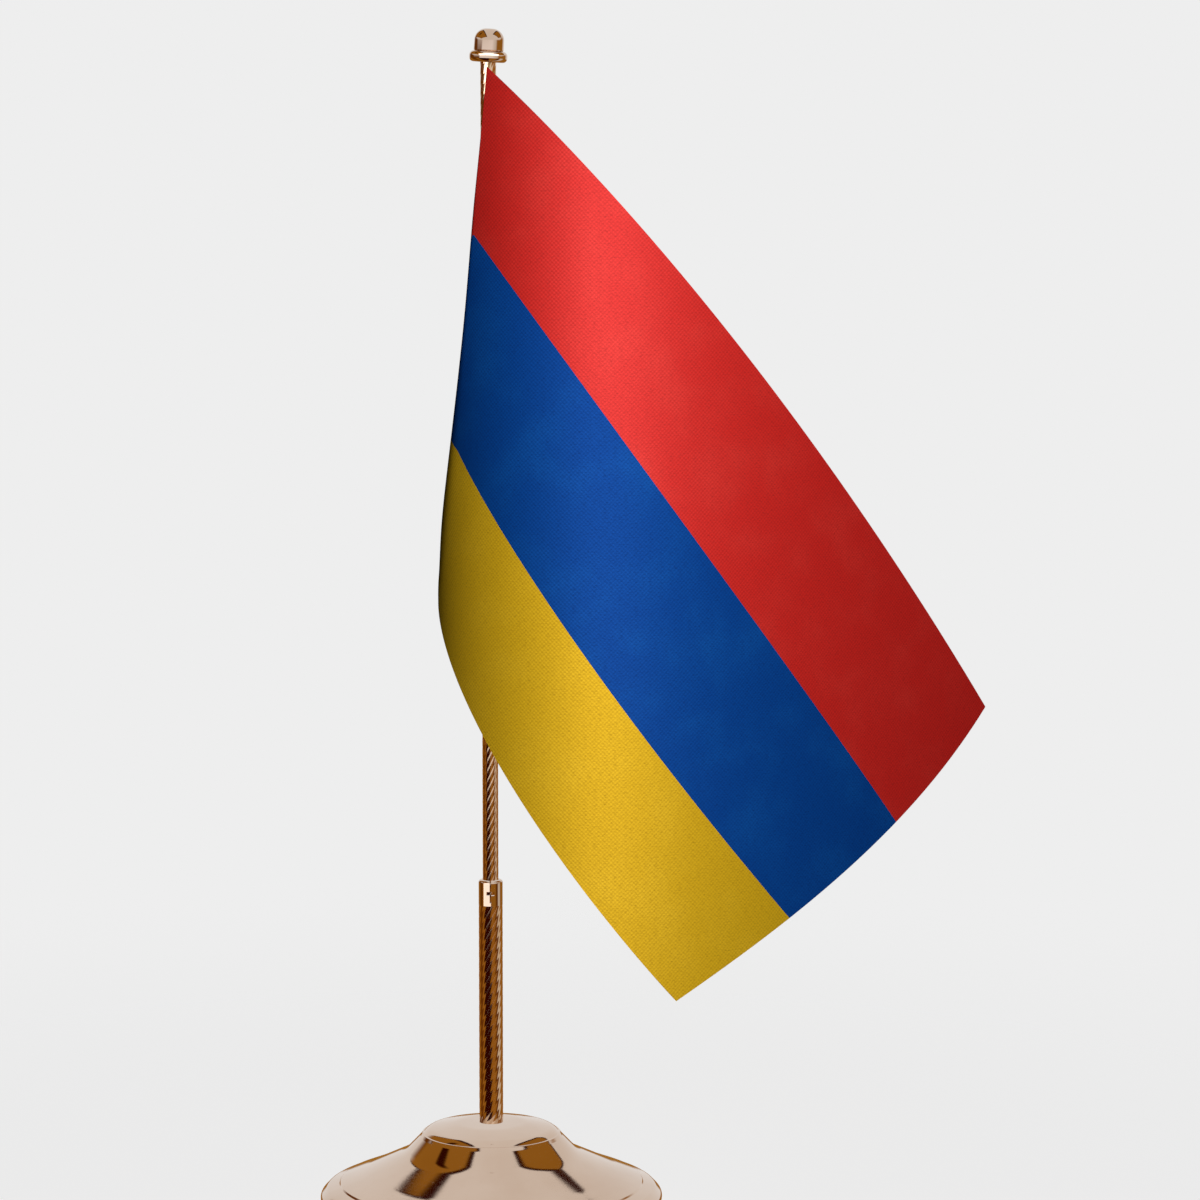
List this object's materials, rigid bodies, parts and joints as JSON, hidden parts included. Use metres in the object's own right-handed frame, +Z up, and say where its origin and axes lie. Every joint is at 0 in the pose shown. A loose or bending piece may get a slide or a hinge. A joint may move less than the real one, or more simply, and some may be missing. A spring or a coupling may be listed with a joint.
{
  "type": "table flag stand",
  "caption": "Table flag stand: weighted bell-shaped base, twist-fluted two-section telescopic pole with a domed finial, and a striped flag hung from a hoist cord.",
  "frame": {"origin": "centre of the underside of the round felt pad", "axes": "+Z up the pole, +X towards the fly of the flag at rest, -Y towards the front of the flag"},
  "size_m": [0.1917, 0.1112, 0.329],
  "materials": {
    "plated_brass": "polished, pale rose gold",
    "turned_brass": "turned",
    "plated_steel": "zinc plated",
    "weight_iron": "as cast",
    "green_felt": "matt felt",
    "nylon": "natural",
    "red_cloth": "plain weave polyester",
    "blue_cloth": "plain weave polyester",
    "amber_cloth": "plain weave polyester",
    "gold_cord": "twisted gold-coloured cord"
  },
  "bodies": {
    "stand": {"base_shell": "plated_brass", "base_weight": "weight_iron", "backing_plate": "plated_steel", "felt_pad": "green_felt", "foot_plug": "turned_brass", "foot_stud": "plated_steel", "clamp_washer": "plated_steel", "lock_washer": "plated_steel", "clamp_nut": "plated_steel", "lower_tube": "plated_brass", "ferrule": "plated_brass"},
    "slider": {"guide_sleeve": "nylon"},
    "upper_section": {"upper_tube": "plated_brass", "rod_foot": "turned_brass", "top_plug": "turned_brass"},
    "flag": {"upper_stripe": "red_cloth", "middle_stripe": "blue_cloth", "lower_stripe": "amber_cloth", "hoist_cord": "gold_cord"},
    "finial": {"finial_flange": "plated_brass", "finial_cap": "plated_brass"}
  },
  "joints": [
    {"name": "pole_slide", "type": "slide", "parent": "stand", "child": "slider", "axis": [0, 0, 1], "range_m": [-0.04, 0]},
    {"name": "pole_turn", "type": "hinge", "parent": "slider", "child": "upper_section", "pos_m": [0, 0, 0.09], "axis": [0, 0, 1], "continuous": true},
    {"name": "flag_swivel", "type": "hinge", "parent": "upper_section", "child": "flag", "pos_m": [0, 0, 0.25], "axis": [0, 0, 1], "continuous": true},
    {"name": "finial_lift", "type": "slide", "parent": "upper_section", "child": "finial", "axis": [0, 0, 1], "range_m": [0, 0.012]}
  ]
}
